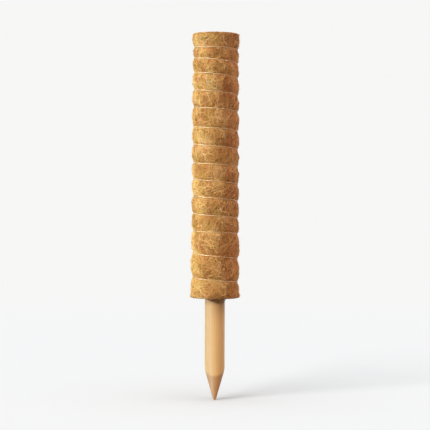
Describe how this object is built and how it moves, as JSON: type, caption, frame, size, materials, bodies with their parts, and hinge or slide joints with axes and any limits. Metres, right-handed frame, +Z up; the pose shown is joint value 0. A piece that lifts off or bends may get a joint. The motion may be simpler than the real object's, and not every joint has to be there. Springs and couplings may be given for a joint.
{
  "type": "moss pole",
  "caption": "Moss pole: felted coir on a plastic tube, bound with a helical thread, on a pointed wooden stake, with an open socket in its top for the next pole's stake.",
  "frame": {"origin": "on the pole's axis at the coir's bottom face, which is the soil line", "axes": "+Z up along the pole, stake below the origin, coir above it; -Y is the front"},
  "size_m": [0.054, 0.054, 0.4],
  "materials": {
    "coir_felt": "matte felted coconut fibre",
    "nylon_thread": "shiny single thread",
    "turned_wood": "smooth sanded dowel",
    "grey_tube": "extruded satin",
    "steel_brad": "drawn wire"
  },
  "bodies": {
    "root": {"coir_wrap": "coir_felt", "binding_thread": "nylon_thread", "stake": "turned_wood", "core_tube": "grey_tube", "lower_brad": "steel_brad", "upper_brad": "steel_brad"}
  },
  "joints": []
}
